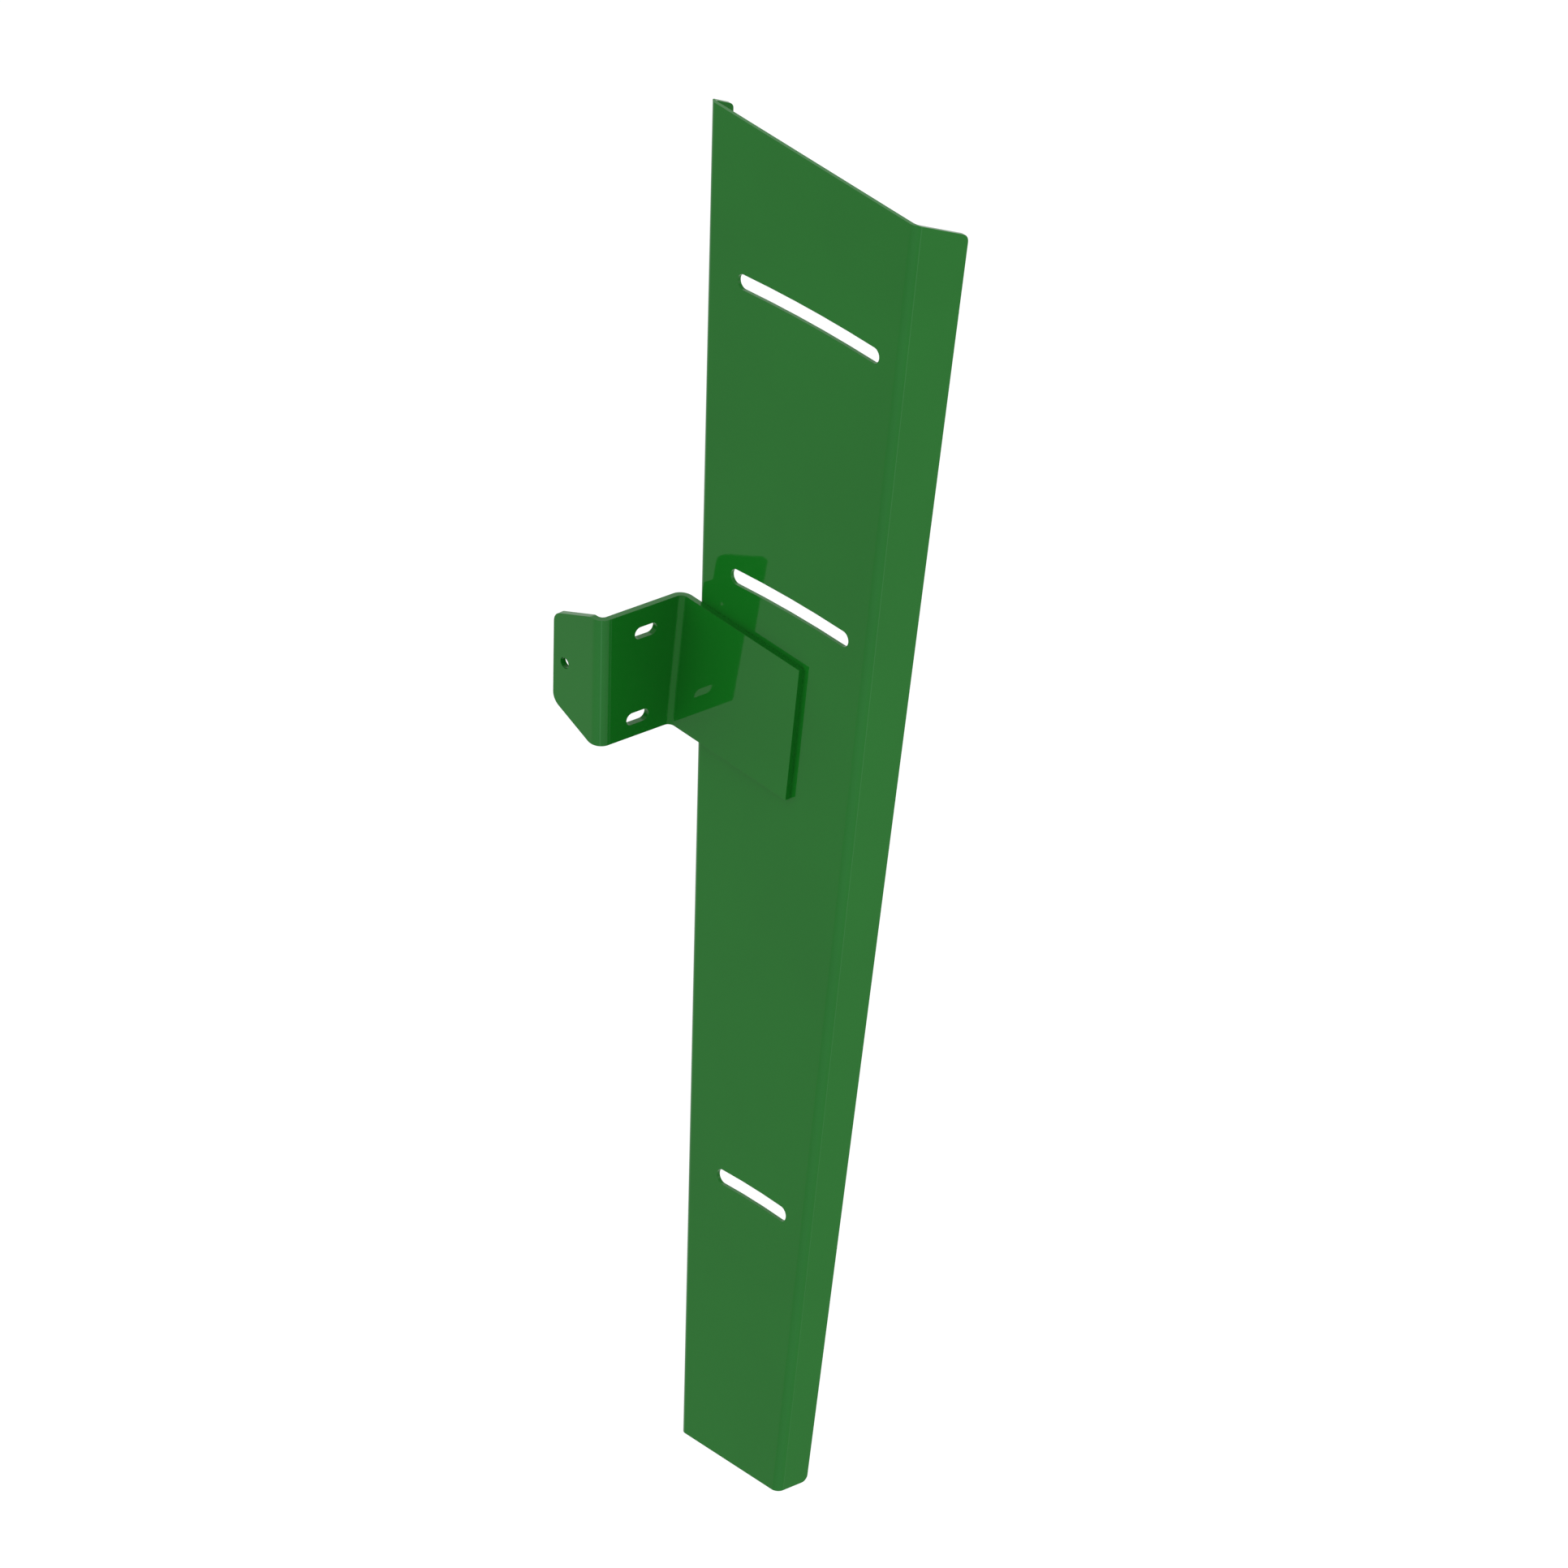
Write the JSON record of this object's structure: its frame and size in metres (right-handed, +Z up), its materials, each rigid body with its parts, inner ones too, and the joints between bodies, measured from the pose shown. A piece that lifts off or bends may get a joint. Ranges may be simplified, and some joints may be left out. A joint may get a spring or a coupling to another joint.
{
  "type": "slotted channel post with offset bracket",
  "caption": "Tall tapered folded-sheet channel with curved slots through its front, welded to a thick Z-shaped offset bracket with slots and a turned tab.",
  "frame": {"origin": "on the bracket's mating face, the left face of its web, midway between the two web slots", "axes": "+Z up along the panel's straight right edge, +Y from the front face to the back, +X from the bracket towards the panel"},
  "size_m": [0.2037, 0.1122, 0.8906],
  "materials": {
    "green_powder_coat": "gloss"
  },
  "bodies": {
    "root": {"channel_panel": "green_powder_coat", "offset_bracket": "green_powder_coat", "leg_fillet_welds": "green_powder_coat", "leg_groove_welds": "green_powder_coat"}
  },
  "joints": []
}
